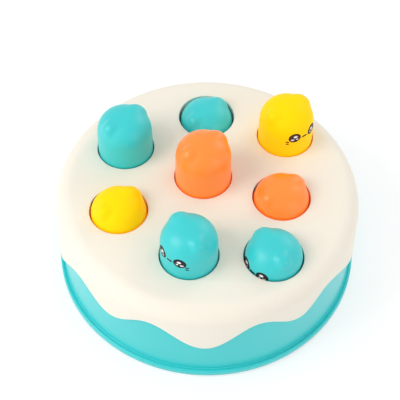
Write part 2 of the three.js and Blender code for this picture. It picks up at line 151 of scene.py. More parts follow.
class FittingSizes(bpy.types.PropertyGroup):
    """Sizes of the screws and their bosses, the foot pads and the lever posts."""
    gap: length("Gap", 0.25, "Clearance round a screw in the tray")
    thread_gap: length("Thread gap", 0.12, "Clearance round a screw in its boss")
    shank_radius: length("Shank radius", 1.45, "Radius of the screws' shanks")
    head_radius: length("Head radius", 2.8, "Radius of the screws' heads")
    head_height: length("Head height", 1.9, "Height of the screws' heads")
    head_recess: length("Head recess", 2.6, "Depth for a case screw's head")
    case_length: length("Case screw length", 16, "A case screw's shank")
    cap_length: length("Cap screw length", 10, "A cap screw's shank")
    boss_radius: length("Boss radius", 4.3, "Bosses of the cover and tray")
    boss_height: length("Boss height", 5, "Tray's bosses over its floor")
    slot_reach: length("Slot reach", 1.5, "Half a cross recess's length")
    slot_half: length("Slot half", 0.3, "Half a cross recess's width")
    slot_depth: length("Slot depth", 1.1, "A cross recess's depth")
    slot_draft: length("Slot draft", 0.06, "Lean of a cross recess's walls")
    pad_seat: length("Pad seat", 7.25, "Radius of the recess for a foot pad")
    pad_recess: length("Pad recess", 0.8, "Depth of the recess for a foot pad")
    pad_round: length("Pad round", 0.35, "A foot pad's lower edge")
    post_foot: length("Post foot", 7, "Half a lever post's width")
    post_head: length("Post head", 4.4, "Radius of a lever post's head")
    post_root: length("Post root", 0.4, "A lever post's depth in the floor")
    post_thickness: length("Post thickness", 3, "A lever post's thickness")
    post_gap: length("Post gap", 7.2, "Between a lever's two posts")


class MoleSizes(bpy.types.PropertyGroup):
    """Sizes of the moles and of the faces printed on them."""
    gap: length("Gap", 0.5, "Between a mole and its hole")
    taper: length("Taper", 0.5, "Foot's radius less the shoulder's")
    foot_round: length("Foot round", 0.4, "A cap's lower edge")
    shoulder_drop: length("Shoulder drop", 16.7, "From the crown's top to its shoulder")
    crown_power: number("Crown power", 2.26, "2 makes a round crown, more a squarer one", 1.5, 6)
    ear_radius: length("Ear radius", 15.3, "First ear's tip from the mole's axis")
    ear_proud: length("Ear height", 2.05, "First ear's rise over the crown")
    ear_width: length("Ear width", 5.4, "First ear's spread to each side")
    ear_climb: length("Ear climb", 10.7, "First ear's spread up the crown")
    ear_fall: length("Ear fall", 3.9, "First ear's spread down the crown")
    nub_radius: length("Nub radius", 13.2, "Second ear's tip from the mole's axis")
    nub_proud: length("Nub height", 2.4, "Second ear's rise over the crown")
    nub_width: length("Nub width", 4.4, "Second ear's spread to each side")
    nub_climb: length("Nub climb", 5, "Second ear's spread up the crown")
    nub_fall: length("Nub fall", 4.5, "Second ear's spread down the crown")
    ear_side_power: number("Ear side power", 3.2, "2 makes soft sides on an ear, more steeper", 1.5, 8)
    ear_power: number("Ear power", 2.9, "2 makes a soft ear along the crown, more a flatter", 1.5, 8)
    wall: length("Wall", 2, "Thickness of a cap")
    boss_radius: length("Boss radius", 3.4, "Screw boss inside a cap")
    face_drop: length("Face drop", 15.2, "From the crown's top to the eyes")
    eye_width: length("Eye width", 8.7, "Width of an eye")
    eye_height: length("Eye height", 7.7, "Height of an eye")
    eye_turn: angle("Eye turn", 23, "Each eye from the face's middle")
    stroke: length("Stroke", 0.95, "The cheeks' printed strokes")
    mouth_stroke: length("Mouth stroke", 1.4, "The printed mouth")
    film: length("Print film", 0.05, "Thickness of the print")


class PlasticColours(bpy.types.PropertyGroup):
    """Colours of the plastics, the print and the metal."""
    teal: colour("Teal", (0.029, 0.607, 0.626), "Drum, tray and four moles")
    yellow: colour("Yellow", (1.0, 0.73, 0.001), "Two moles")
    orange: colour("Orange", (1.0, 0.254, 0.019), "Two moles")
    cream: colour("Cream", (0.9, 0.845, 0.74), "Iced cover")
    white: colour("White", (0.78, 0.78, 0.75), "Levers and plungers")
    print_dark: colour("Print", (0.016, 0.011, 0.011), "Eyes, mouths and cheek strokes")
    print_brown: colour("Iris", (0.115, 0.05, 0.045), "Ring between an eye's rim and its pupil")
    print_slate: colour("Iris on teal", (0.035, 0.03, 0.045), "The same ring on the teal moles")
    print_light: colour("Highlight", (0.95, 0.93, 0.93), "Glints in the eyes")
    steel: colour("Steel", (0.6, 0.61, 0.63), "Screws and pins")
    rubber: colour("Rubber", (0.56, 0.57, 0.56), "Foot pads")


class StudioSettings(bpy.types.PropertyGroup):
    """Camera, floor and light."""
    distance: length("Camera distance", 766.4, "From the point in view to the camera")
    elevation: angle("Elevation", 55.28, "Camera's height above the horizon")
    turn: angle("Turn", 1.5, "Camera's turn about the toy")
    roll: angle("Roll", 0.59874, "Camera's roll")
    aim_side: length("Aim aside", -5, "Sideways place of the point in view")
    aim_height: length("Aim height", 56.86, "Height of the point in view")
    lens: number("Lens", 94.545, "Focal length in mm on a 36 mm sensor", 10, 500)
    floor_span: length("Floor span", 3000, "From the toy to each edge of the floor")
    floor_pale: number("Pale floor", 0.93, "Grey of the floor where it lights the toy", 0, 1)
    floor_seen: number("Seen floor", 0.5, "Grey of the floor that the camera sees", 0, 1)
    floor_glow: number("Floor glow", 0.56, "Light added to the floor that the camera sees", 0, 2)
    sky: number("Sky", 0.71, "Strength of the light from all round", 0, 2)


# Sizes that follow from the frame and the settings

def housing():
    """Sizes of the cover, drum and tray."""
    return bpy.context.scene.cake_housing


def fittings():
    """Sizes of the screws, pads and posts."""
    return bpy.context.scene.cake_fittings


def mole_sizes():
    """Sizes of the moles and their faces."""
    return bpy.context.scene.cake_moles


def plastics():
    """Colours of the plastics, inks, steel and rubber."""
    return bpy.context.scene.cake_colours


def centre_of(node):
    """Middle of a CAD node's box."""
    low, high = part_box(node)
    return (low + high) / 2


def shell_radii():
    """Radii and heights that the pieces of the housing share. The skirt and the drum widen downwards
    by the tangent of the wall draft, so their radii are functions of height."""
    h = housing()
    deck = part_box("icing_cover")[1].z
    shoulder = deck - h.shoulder_radius
    sleeves = max(math.hypot(*centre_of(f"plunger_{name}").xy) for name in MOLES) + h.hole_radius
    flat = sleeves + h.deck_margin

    def skirt(z):
        return flat + h.shoulder_radius + (shoulder - z) * math.tan(h.wall_draft)

    def drum(z):
        return skirt(z) - h.skirt_wall - h.fit_gap

    return SimpleNamespace(
        deck=deck, under=deck - h.deck_thickness, shoulder=shoulder, flat=flat,
        sleeves=sleeves + h.sleeve_wall, boss_low=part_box("icing_cover")[0].z,
        floor=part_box("drum_wall")[0].z, drum_top=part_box("drum_wall")[1].z,
        tray_low=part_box("base_tray")[0].z, skirt=skirt, drum=drum)


def linked(name, data):
    """A new object with this data, in the scene."""
    item = bpy.data.objects.new(name, data)
    bpy.context.scene.collection.objects.link(item)
    return item


# Meshes: patches worked out as whole arrays, welded into one shell

class Shell:
    """Gathers patches of points and faces, then welds them into one mesh."""

    def __init__(self):
        self.points = []
        self.faces = []
        self.flat = []
        self.slots = []
        self.count = 0

    def add(self, points, faces, flat=False, slot=0):
        """A patch: its points, its faces by point, flat or smooth, and its material slot."""
        points = np.asarray(points, float).reshape(-1, 3)
        self.points.append(points)
        self.faces.extend((np.asarray(faces, int) + self.count).tolist())
        self.flat.extend([flat] * len(faces))
        self.slots.extend([slot] * len(faces))
        self.count += len(points)

    def grid(self, points, flat=False, slot=0):
        """Quads between the rows and columns of a grid, whose last column joins its first."""
        index = np.arange(points[..., 0].size).reshape(points.shape[:2])
        right = np.roll(index, -1, axis=1)
        quads = np.stack([index[:-1], right[:-1], right[1:], index[1:]], axis=-1)
        self.add(points, quads.reshape(-1, 4), flat, slot)

    def turned(self, profile, steps, centre=(0, 0)):
        """A profile of [radius, height] rows carried round the vertical axis at centre."""
        self.grid(turned_points(profile, steps, centre))

    def filled(self, loops, height):
        """A flat face at one height, bounded by the first loop and pierced by the others."""
        triangles = tessellate_polygon([[Vector((x, y, 0)) for x, y in loop] for loop in loops])
        plan = np.concatenate(loops)
        self.add(np.column_stack([plan, np.full(len(plan), height)]), triangles, flat=True)

    def extruded(self, outline, width, place):
        """An outline in the plane of x and z, given width along y, with its ends filled, then placed."""
        count = len(outline)
        turn, shift = np.asarray(place.to_3x3()), np.asarray(place.translation)
        ends = [np.column_stack([outline[:, 0], np.full(count, side * width / 2), outline[:, 1]])
                for side in (-1, 1)]
        ends = np.stack(ends) @ turn.T + shift
        self.grid(ends, flat=True)
        for end in ends:
            self.add(end, [range(count)], flat=True)

    def build(self, name, crease=35):
        """Welds the patches, turns the faces outwards and marks the creases, in degrees."""
        mesh = bpy.data.meshes.new(name)
        mesh.from_pydata(np.concatenate(self.points).tolist(), [], self.faces)
        mesh.polygons.foreach_set("use_smooth", [not flat for flat in self.flat])
        mesh.polygons.foreach_set("material_index", self.slots)
        work = bmesh.new()
        work.from_mesh(mesh)
        bmesh.ops.remove_doubles(work, verts=work.verts, dist=WELD_DISTANCE)
        bmesh.ops.recalc_face_normals(work, faces=work.faces)
        work.to_mesh(mesh)
        work.free()
        mesh.set_sharp_from_angle(angle=math.radians(crease))
        return linked(name, mesh)


def turned_points(profile, steps, centre=(0, 0)):
    """Row j, column i is the profile's point j turned by i steps about the axis at centre."""
    profile = np.asarray(profile, float)
    turn = 2 * np.pi * np.arange(steps) / steps
    x = centre[0] + profile[:, :1] * np.cos(turn)
    y = centre[1] + profile[:, :1] * np.sin(turn)
    return np.stack([x, y, np.broadcast_to(profile[:, 1:], x.shape)], axis=-1)


def circle(radius, steps, centre=(0, 0)):
    """Points of a circle in plan."""
    return turned_points([[radius, 0]], steps, centre)[0, :, :2]


def arc(centre, radius, start, end, steps):
    """Profile points on an arc, with angles in degrees measured from outwards towards up."""
    turn = np.radians(np.linspace(start, end, steps + 1))
    return np.column_stack([centre[0] + radius * np.cos(turn), centre[1] + radius * np.sin(turn)])


# Materials: one group for moulded plastic's mottle, grain and scuffs, used by every plastic

def feed(tree, node, inputs):
    """Fills a node's inputs: a socket is linked to its input, and any other value is set there."""
    for key, value in inputs.items():
        if isinstance(value, bpy.types.NodeSocket):
            tree.links.new(value, node.inputs[key])
        else:
            node.inputs[key].default_value = value


def add_node(tree, kind, inputs=None, **settings):
    """A new node with its settings and its inputs."""
    node = tree.nodes.new(kind)
    for key, value in settings.items():
        setattr(node, key, value)
    feed(tree, node, inputs or {})
    return node


def maths(tree, operation, first, second, **settings):
    """The result of an operation on two sockets or numbers."""
    node = add_node(tree, "ShaderNodeMath", {0: first, 1: second}, operation=operation, **settings)
    return node.outputs[0]


def moulded_group():
    """Colour, roughness and height of moulded plastic: a slow mottle, a fine grain and light scuffs."""
    name = "moulded_plastic"
    if name in bpy.data.node_groups:
        return bpy.data.node_groups[name]
    tree = bpy.data.node_groups.new(name, "ShaderNodeTree")
    face = tree.interface
    face.new_socket("Plastic", in_out="INPUT", socket_type="NodeSocketColor")
    defaults = {"Mottle": 0.04, "Mottle Scale": 22.0, "Satin": 0.4, "Grain Scale": 1500.0, "Grain": 0.5,
                "Scuffs": 0.1}
    for label, value in defaults.items():
        face.new_socket(label, in_out="INPUT", socket_type="NodeSocketFloat").default_value = value
    face.new_socket("Color", in_out="OUTPUT", socket_type="NodeSocketColor")
    for label in ("Roughness", "Height"):
        face.new_socket(label, in_out="OUTPUT", socket_type="NodeSocketFloat")
    given = add_node(tree, "NodeGroupInput").outputs
    place = add_node(tree, "ShaderNodeTexCoord").outputs["Object"]

    # Slow mottle, which lightens and darkens the plastic a little
    slow = add_node(tree, "ShaderNodeTexNoise", {
        "Vector": place, "Scale": given["Mottle Scale"], "Detail": 3.0, "Roughness": 0.55})
    swing = maths(tree, "SUBTRACT", slow.outputs["Fac"], 0.5)
    gain = maths(tree, "ADD", maths(tree, "MULTIPLY", swing, given["Mottle"]), 1.0)
    tint = add_node(tree, "ShaderNodeVectorMath", {0: given["Plastic"], "Scale": gain}, operation="SCALE")

    # Fine grain of the spark-eroded mould
    grain = add_node(tree, "ShaderNodeTexNoise", {
        "Vector": place, "Scale": given["Grain Scale"], "Detail": 2.0, "Roughness": 0.6}).outputs["Fac"]

    # Light scuffs: thin streaks where a stretched noise comes near its top
    stretch = add_node(tree, "ShaderNodeMapping", {
        "Vector": place, "Scale": (1.0, 0.22, 0.35), "Rotation": (0.4, 0.2, 0.7)})
    streak = add_node(tree, "ShaderNodeTexNoise", {
        "Vector": stretch.outputs[0], "Scale": 420.0, "Detail": 4.0, "Roughness": 0.7})
    thin = add_node(tree, "ShaderNodeMapRange", {
        "Value": streak.outputs["Fac"], "From Min": 0.62, "From Max": 0.74})
    scuff = maths(tree, "MULTIPLY", thin.outputs[0], given["Scuffs"])

    # Roughness is the satin level, swung by the grain and raised in the scuffs, and height is the
    # grain less the scuffs
    spread = add_node(tree, "ShaderNodeMapRange", {"Value": grain, "To Min": -0.05, "To Max": 0.05})
    rough = maths(tree, "ADD", given["Satin"], spread.outputs[0])
    depth = maths(tree, "MULTIPLY", grain, given["Grain"])
    add_node(tree, "NodeGroupOutput", {
        "Color": tint.outputs[0], "Roughness": maths(tree, "ADD", rough, scuff, use_clamp=True),
        "Height": maths(tree, "SUBTRACT", depth, scuff)})
    return tree


def moulded(name, value, satin=0.4, mottle=0.04, grain=0.5, scuffs=0.1, relief=0.02, glow=0.0,
            gloss=0.5, coat=0.0, metallic=0.0, painted_red_glow=0.0):
    """A moulded plastic, or with metallic a plated metal, from the shared group. The relief is in
    millimetres, glow is light scattered inside, and the last number is a red emission, a painted glow that
    keeps the shaded sides red as if they were lit."""
    if name in bpy.data.materials:
        return bpy.data.materials[name]
    material = bpy.data.materials.new(name)
    material.use_nodes = True
    material.diffuse_color = (*value, 1)
    tree = material.node_tree
    group = add_node(tree, "ShaderNodeGroup", node_tree=moulded_group())
    feed(tree, group, {"Plastic": (*value, 1), "Satin": satin, "Mottle": mottle, "Grain": grain,
                       "Scuffs": scuffs})
    bump = add_node(tree, "ShaderNodeBump", {
        "Strength": 0.5, "Distance": relief * MM, "Height": group.outputs["Height"]})
    skin = tree.nodes["Principled BSDF"]
    feed(tree, skin, {
        "Base Color": group.outputs["Color"], "Roughness": group.outputs["Roughness"],
        "Normal": bump.outputs["Normal"], "IOR": 1.5, "Specular IOR Level": gloss,
        "Metallic": metallic, "Coat Weight": coat, "Coat Roughness": 0.3})
    # Painted glow: a red emission that lifts the red on the plastic's shaded sides, though the plastic is
    # no lamp
    if painted_red_glow:
        feed(tree, skin, {"Emission Color": (1, 0.08, 0, 1), "Emission Strength": painted_red_glow})
    if glow:
        feed(tree, skin, {"Subsurface Weight": glow, "Subsurface Radius": (1.0, 0.6, 0.35),
                          "Subsurface Scale": 2.5 * MM})
    return material


def printed(name, value):
    """Pad-printed ink: one colour with a faint unevenness, less glossy than the plastic."""
    return moulded(name, value, satin=0.4, mottle=0.15, grain=0.2, scuffs=0.03, relief=0.005, gloss=0.1)


def plastic(name):
    """The material of one of the plastics, by its colour and finish."""
    value = getattr(plastics(), name.split("_")[0])
    looks = {
        "teal": dict(satin=0.43, mottle=0.05, glow=0.1, coat=0.2),
        "teal_polished": dict(satin=0.4, mottle=0.05, glow=0.1, gloss=0.25, coat=0.6),
        # Yellow and orange carry the painted red glow that keeps their shaded sides red
        "yellow": dict(satin=0.42, mottle=0.05, glow=0.05, gloss=0.1, painted_red_glow=0.18),
        "orange": dict(satin=0.42, mottle=0.05, glow=0.05, coat=0.35, painted_red_glow=0.18),
        "cream": dict(satin=0.5, mottle=0.03, grain=0.8, relief=0.03, glow=0.08, gloss=0.25),
        "white": dict(satin=0.5, mottle=0.03),
    }
    return moulded(f"moulded_{name}", value, **looks[name])


def steel_skin():
    """Plated steel for the screws and pins."""
    return moulded("plated_steel", plastics().steel, satin=0.3, mottle=0.06, grain=0.3, scuffs=0.15,
                   relief=0.01, metallic=1.0)


def settle(piece, materials, body, nodes=()):
    """Gives a piece its materials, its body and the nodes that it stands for."""
    for material in materials:
        piece.data.materials.append(material)
    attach(piece, body)
    if nodes:
        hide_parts(*nodes)


# Iced cover

def drip_edge(azimuth, sizes):
    """Height of the icing's edge: half cosine waves between the lows and highs of its drips."""
    stops = np.array(DRIP_SHARES + [(DRIP_SHARES[0][0] + 360, DRIP_SHARES[0][1])])
    at = (np.degrees(azimuth) - stops[0, 0]) % 360 + stops[0, 0]
    after = np.clip(np.searchsorted(stops[:, 0], at, side="right"), 1, len(stops) - 1)
    before = after - 1
    way = (at - stops[before, 0]) / (stops[after, 0] - stops[before, 0])
    share = stops[before, 1] + (stops[after, 1] - stops[before, 1]) * (1 - np.cos(np.pi * way)) / 2
    return sizes.shoulder - housing().drip_depth * share


def skirt_points(sizes, steps):
    """Rings over the shoulder, down the skirt, round the icing's edge and up inside to the deck."""
    h = housing()
    azimuth = 2 * np.pi * np.arange(steps) / steps
    edge = drip_edge(azimuth, sizes)
    rings = []

    def ring(radius, height):
        rings.append(np.broadcast_arrays(radius, height, azimuth)[:2])

    for radius, height in arc((sizes.flat, sizes.shoulder), h.shoulder_radius, 90, 0, 18):
        ring(radius, height)
    lip_top = edge + h.lip_round
    for share in np.linspace(0, 1, 13)[1:]:
        height = sizes.shoulder + (lip_top - sizes.shoulder) * share
        ring(sizes.skirt(height), height)
    for x, z in arc((0, 0), h.lip_round, 0, 90, 5)[1:]:
        ring(sizes.skirt(lip_top) - h.lip_round + x, lip_top - z)
    inner_round = h.lip_round / 3
    for x, z in arc((0, 0), inner_round, 90, 0, EDGE_STEPS):
        ring(sizes.skirt(edge) - h.skirt_wall + inner_round - x, edge + inner_round - z)
    for share in np.linspace(1, 0, 7)[1:]:
        height = sizes.shoulder + (edge + inner_round - sizes.shoulder) * share
        ring(sizes.skirt(height) - h.skirt_wall, height)
    shelf = sizes.skirt(sizes.shoulder) - h.skirt_wall - h.shelf_width
    clear = sizes.sleeves + h.fit_gap
    for share, rise in arc((0, 0), 1, 0, 90, 8):
        ring(clear + (shelf - clear) * share, sizes.shoulder + (sizes.under - sizes.shoulder) * rise)
    radius, height = np.stack(rings, axis=1)
    return np.stack([radius * np.cos(azimuth), radius * np.sin(azimuth), height], axis=-1)


def sleeve_bottom():
    """Foot of the guide sleeves, which stop a plunger's flange at the top of its travel."""
    rise = next(joint for joint in frame["joints"] if joint["name"] == "rise_centre")
    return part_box("mole_cap_centre")[0].z + rise["range_m"][1] + housing().stop_gap


def sleeve_profile(sizes):
    """From the deck over the hole's round, down the bore, round the sleeve's foot and up outside."""
    h = housing()
    small = h.hole_round
    low = sleeve_bottom() + small
    outer = h.hole_radius + h.sleeve_wall
    return np.concatenate([
        arc((h.hole_radius + small, sizes.deck - small), small, 90, 180, 4),
        arc((h.hole_radius + small, low), small, 180, 270, EDGE_STEPS),
        arc((outer - small, low), small, 270, 360, EDGE_STEPS),
        [[outer, sizes.under]],
    ])


class CAKE_OT_icing_cover(bpy.types.Operator):
    """Moulds the cream cover: deck, holes with their sleeves, shoulder, dripping skirt and bosses."""
    bl_idname = "cake_game.icing_cover"
    bl_label = "Icing cover"

    def execute(self, context):
        h, f = housing(), fittings()
        sizes = shell_radii()
        shell = Shell()
        skirt = skirt_points(sizes, COVER_STEPS)
        shell.grid(skirt)
        holes = [centre_of(f"plunger_{name}").xy for name in MOLES]
        faces = ((skirt[0], h.hole_round, sizes.deck), (skirt[-1], h.sleeve_wall, sizes.under))
        for ring, wider, height in faces:
            loops = [circle(h.hole_radius + wider, HOLE_STEPS, centre) for centre in holes]
            shell.filled([ring[:, :2], *loops], height)
        for centre in holes:
            shell.turned(sleeve_profile(sizes), HOLE_STEPS, centre)
        low, root = sizes.boss_low, sizes.under + h.deck_thickness / 2
        bore = f.shank_radius + f.thread_gap
        boss = [[0, root], [f.boss_radius, root], [f.boss_radius, low], [bore, low],
                [bore, low + f.case_length], [0, low + f.case_length]]
        for node in SCREW_NODES:
            shell.turned(boss, BOSS_STEPS, centre_of(node).xy)
        piece = shell.build("icing_cover_moulding")
        settle(piece, [plastic("cream")], "root", ["icing_cover"])
        return {"FINISHED"}


# Drum wall and base tray

def rim_crest(sizes):
    """Radius and height of the rim's crest, where the drum's flared foot meets the tray."""
    h = housing()
    return sizes.drum(sizes.floor) + h.fit_gap + h.rim_width / 2, sizes.tray_low + h.rim_height


def flared_foot(sizes):
    """From the drum's side out along the ledge, up to the crest, over the rest of the bead and by a
    hollow arc, which meets the bead and the wall without a kink, up into the wall."""
    h = housing()
    crest, top = rim_crest(sizes)
    bead = h.rim_width / 2
    under = top - h.ledge_drop + h.seam
    start, end = math.degrees(h.bead_start), math.degrees(h.bead_end)
    over = arc((crest, top - bead), bead, 90 + start, 90 + end, 6)
    x, z = over[-1]
    hollow = (x - sizes.drum(top)) / (1 + math.sin(h.bead_end))
    middle = (x - hollow * math.sin(h.bead_end), z + hollow * math.cos(h.bead_end))
    inner = arc(middle, hollow, end - 90, -180, 10)[1:]
    ledge = [[sizes.drum(under), under], [crest - h.seam, under], [crest - h.seam, top]]
    return np.concatenate([ledge, over, inner])


class CAKE_OT_drum_wall(bpy.types.Operator):
    """Moulds the teal drum that stands between the tray and the cover."""
    bl_idname = "cake_game.drum_wall"
    bl_label = "Drum wall"

    def execute(self, context):
        h = housing()
        sizes = shell_radii()
        soft = h.edge_round
        low, high = sizes.floor, sizes.drum_top
        outer_low, outer_high = sizes.drum(low), sizes.drum(high)
        inner_low, inner_high = outer_low - h.drum_wall, outer_high - h.drum_wall
        profile = np.concatenate([
            arc((outer_low - soft, low + soft), soft, -90, 0, EDGE_STEPS),
            flared_foot(sizes),
            [[sizes.drum(z), z] for z in np.linspace(low, high, 5)[1:-1]],
            arc((outer_high - soft, high - soft), soft, 0, 90, EDGE_STEPS),
            arc((inner_high + soft, high - soft), soft, 90, 180, EDGE_STEPS),
            arc((inner_low + soft, low + soft), soft, 180, 270, EDGE_STEPS),
        ])
        shell = Shell()
        shell.turned(np.concatenate([profile, profile[:1]]), DRUM_STEPS)
        piece = shell.build("drum_wall_moulding")
        settle(piece, [plastic("teal_polished")], "root", ["drum_wall"])
        return {"FINISHED"}


def tray_profile(sizes):
    """From under the rim round its bead to the crest, down to the ledge and inside, then over the
    ring that centres the drum."""
    h = housing()
    low, floor = sizes.tray_low, sizes.floor
    bead, soft = h.rim_width / 2, h.edge_round
    crest, top = rim_crest(sizes)
    ledge = top - h.ledge_drop
    slit = sizes.drum(floor) + h.fit_gap / 4
    ring_outer = sizes.drum(floor) - h.drum_wall - h.fit_gap
    ring_inner = ring_outer - h.tray_ring
    return np.concatenate([
        arc((crest, low + bead), bead, -90, 0, 6),
        arc((crest, top - bead), bead, 0, 90, 8),
        [[crest, ledge], [slit, ledge], [slit, floor], [ring_outer, floor]],
        arc((ring_outer - soft, top - soft), soft, 0, 90, EDGE_STEPS),
        arc((ring_inner + soft, top - soft), soft, 90, 180, EDGE_STEPS),
        [[ring_inner, floor]],
    ])


def post_outline(sizes):
    """A tapered lever post with a round head, in the plane that the lever swings in."""
    f = fittings()
    low = sizes.floor - f.post_root
    head = arc((0, centre_of("pivot_pin_left").z), f.post_head, 0, 180, 24)
    return np.concatenate([[[-f.post_foot, low], [f.post_foot, low]], head])


def post_places():
    """Where each lever's two posts stand: a post's outline lies across the lever's axis."""
    f = fittings()
    for joint in frame["joints"]:
        if joint["type"] == "hinge":
            x, y, _ = joint["pos_m"]
            swing = Vector(joint["axis"])
            axes = Matrix((swing.cross(UP), -swing, UP)).transposed().to_4x4()
            for side in (-1, 1):
                aside = swing * side * (f.post_gap + f.post_thickness) / 2
                yield Matrix.Translation(Vector((x, y, 0)) - aside) @ axes


class CAKE_OT_base_tray(bpy.types.Operator):
    """Moulds the teal tray: floor, rounded rim, drum ring, screw bosses, lever posts and recesses."""
    bl_idname = "cake_game.base_tray"
    bl_label = "Base tray"

    def execute(self, context):
        f = fittings()
        sizes = shell_radii()
        low, floor = sizes.tray_low, sizes.floor
        profile = tray_profile(sizes)
        shell = Shell()
        shell.turned(profile, DRUM_STEPS)
        screws = [centre_of(node).xy for node in SCREW_NODES]
        pads = [centre_of(node).xy for node in PAD_NODES]
        counter, bore = f.head_radius + f.gap, f.shank_radius + f.gap
        seat, pad_top, boss_top = low + f.head_recess, low + f.pad_recess, floor + f.boss_height

        def circles(radius, centres):
            return [circle(radius, BOSS_STEPS, centre) for centre in centres]

        shell.filled([circle(profile[0, 0], DRUM_STEPS), *circles(counter, screws),
                      *circles(f.pad_seat, pads)], low)
        shell.filled([circle(profile[-1, 0], DRUM_STEPS), *circles(f.boss_radius, screws)], floor)
        boss = [[f.boss_radius, floor], [f.boss_radius, boss_top], [bore, boss_top], [bore, seat],
                [counter, seat], [counter, low]]
        for centre in screws:
            shell.turned(boss, BOSS_STEPS, centre)
        for centre in pads:
            shell.turned([[f.pad_seat, low], [f.pad_seat, pad_top], [0, pad_top]], BOSS_STEPS, centre)
        for place in post_places():
            shell.extruded(post_outline(sizes), f.post_thickness, place)
        piece = shell.build("base_tray_moulding")
        settle(piece, [plastic("teal_polished")], "root", ["base_tray"])
        return {"FINISHED"}


# Moles

# How far from a cap's screw boss the underside of its crown ends
BOSS_MARGIN = 0.5 * MM


def foot_radius():
    """Radius of a mole at its foot."""
    return housing().hole_radius - mole_sizes().gap


def cap_frame(name):
    """One mole's foot centre, its cap's height, and the azimuths of its ears and of its face."""
    low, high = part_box(f"mole_cap_{name}")
    axis = centre_of(f"plunger_{name}")
    _, ears, face = MOLES[name]
    foot = np.array((axis.x, axis.y, low.z))
    return foot, high.z - low.z, np.radians(ears), math.radians(face)


def cap_radius(z, height):
    """Radius of the cap at a height over its foot: a slow taper, then a superellipse over the crown."""
    m = mole_sizes()
    foot = foot_radius()
    shoulder = height - m.shoulder_drop
    over = np.clip((z - shoulder) / m.shoulder_drop, 0, 1)
    crown = (foot - m.taper) * (1 - over ** m.crown_power) ** (1 / m.crown_power)
    return np.where(z > shoulder, crown, foot - m.taper * np.clip(z / shoulder, 0, 1))


def crown_normal(radius, rise, crown):
    """The crown's unit normal, outwards and up, at a radius and a height over the shoulder: the
    gradient of its superellipse."""
    m = mole_sizes()
    lean = np.clip(radius / crown, 0, 1) ** (m.crown_power - 1) / crown
    lift = np.clip(rise / m.shoulder_drop, 0, 1) ** (m.crown_power - 1) / m.shoulder_drop
    size = np.hypot(lean, lift)
    return lean / size, lift / size


def ear_bump(azimuth, radius, rise, crown, ear, shape):
    """Height of an ear over the crown: proud * exp(-aside ** p - along ** q), with the distances
    from its tip in its own spreads aside, up and down."""
    m = mole_sizes()
    reach, proud, width, climb, fall = shape
    tip = m.shoulder_drop * (1 - (reach / crown) ** m.crown_power) ** (1 / m.crown_power)
    lean, lift = crown_normal(reach, tip, crown)
    outwards = radius * np.cos(azimuth - ear) - reach
    upwards = rise - tip
    aside = np.hypot(radius * np.sin(azimuth - ear), outwards * lean + upwards * lift)
    along = upwards * lean - outwards * lift
    spread = np.where(along > 0, climb, fall)
    return proud * np.exp(-(aside / width) ** m.ear_side_power - np.abs(along / spread) ** m.ear_power)


def cap_surface(azimuth, climb, height, ears):
    """Points of the cap's outside, where climb runs from 0 at the foot through 1 at the shoulder to 2
    at the top: a slow taper, then a superellipse, with the ears raised along its normal."""
    m = mole_sizes()
    foot = foot_radius()
    crown = foot - m.taper
    shoulder = height - m.shoulder_drop
    azimuth, climb = np.broadcast_arrays(azimuth, climb)
    turn = np.clip(climb - 1, 0, 1) * np.pi / 2
    power = 2 / m.crown_power
    radius = np.where(climb < 1, foot - m.taper * climb, crown * np.cos(turn) ** power)
    rise = np.where(climb < 1, shoulder * (climb - 1), m.shoulder_drop * np.sin(turn) ** power)
    shapes = [(m.ear_radius, m.ear_proud, m.ear_width, m.ear_climb, m.ear_fall),
              (m.nub_radius, m.nub_proud, m.nub_width, m.nub_climb, m.nub_fall)]
    bump = sum(ear_bump(azimuth, radius, rise, crown, *ear) for ear in zip(ears, shapes))
    lean, lift = crown_normal(radius, rise, crown)
    reach = radius + bump * lean
    return np.stack([reach * np.cos(azimuth), reach * np.sin(azimuth), shoulder + rise + bump * lift],
                    axis=-1)


def cap_inside(height):
    """From the foot's round in to the wall, up under the crown, and down the screw boss to its bore."""
    m, f = mole_sizes(), fittings()
    inner = foot_radius() - m.wall
    shoulder, top = height - m.shoulder_drop, height - m.wall
    turn = np.radians(np.linspace(0, 80, 14))
    power = 2 / m.crown_power
    crown = np.column_stack([(inner - m.taper) * np.cos(turn) ** power,
                             shoulder + (top - shoulder) * np.sin(turn) ** power])
    crown = crown[crown[:, 0] > m.boss_radius + BOSS_MARGIN]
    bore = f.shank_radius + f.thread_gap
    return np.concatenate([
        [[foot_radius() - m.foot_round, 0], [inner, 0]], crown,
        [[m.boss_radius, crown[-1, 1]], [m.boss_radius, 0], [bore, 0], [bore, f.cap_length],
         [0, f.cap_length]]])


class CAKE_OT_mole_caps(bpy.types.Operator):
    """Moulds the eight moles: a hollow cap with a rounded crown, two ears and a screw boss."""
    bl_idname = "cake_game.mole_caps"
    bl_label = "Mole caps"

    def execute(self, context):
        small = mole_sizes().foot_round
        azimuth = 2 * np.pi * np.arange(MOLE_STEPS) / MOLE_STEPS
        climb = np.concatenate([np.linspace(0.02, 1, 14), np.linspace(1, 2, 49)[1:]])
        corner = arc((foot_radius() - small, small), small, -90, 0, 4)
        for name, (tone, _, _) in MOLES.items():
            foot, height, ears, _ = cap_frame(name)
            outside = cap_surface(azimuth[None, :], climb[:, None], height, ears)
            shell = Shell()
            shell.grid(np.concatenate([turned_points(corner, MOLE_STEPS), outside]) + foot)
            shell.grid(turned_points(cap_inside(height), MOLE_STEPS) + foot)
            piece = shell.build(f"mole_cap_moulding_{name}", crease=50)
            settle(piece, [plastic(tone)], f"mole_{name}", [f"mole_cap_{name}"])
        return {"FINISHED"}


# Printed faces: each mark is a thin lens that follows the cap's skin. Places and sizes are shares
# of an eye's width and height, measured from its middle, with outwards and up positive.

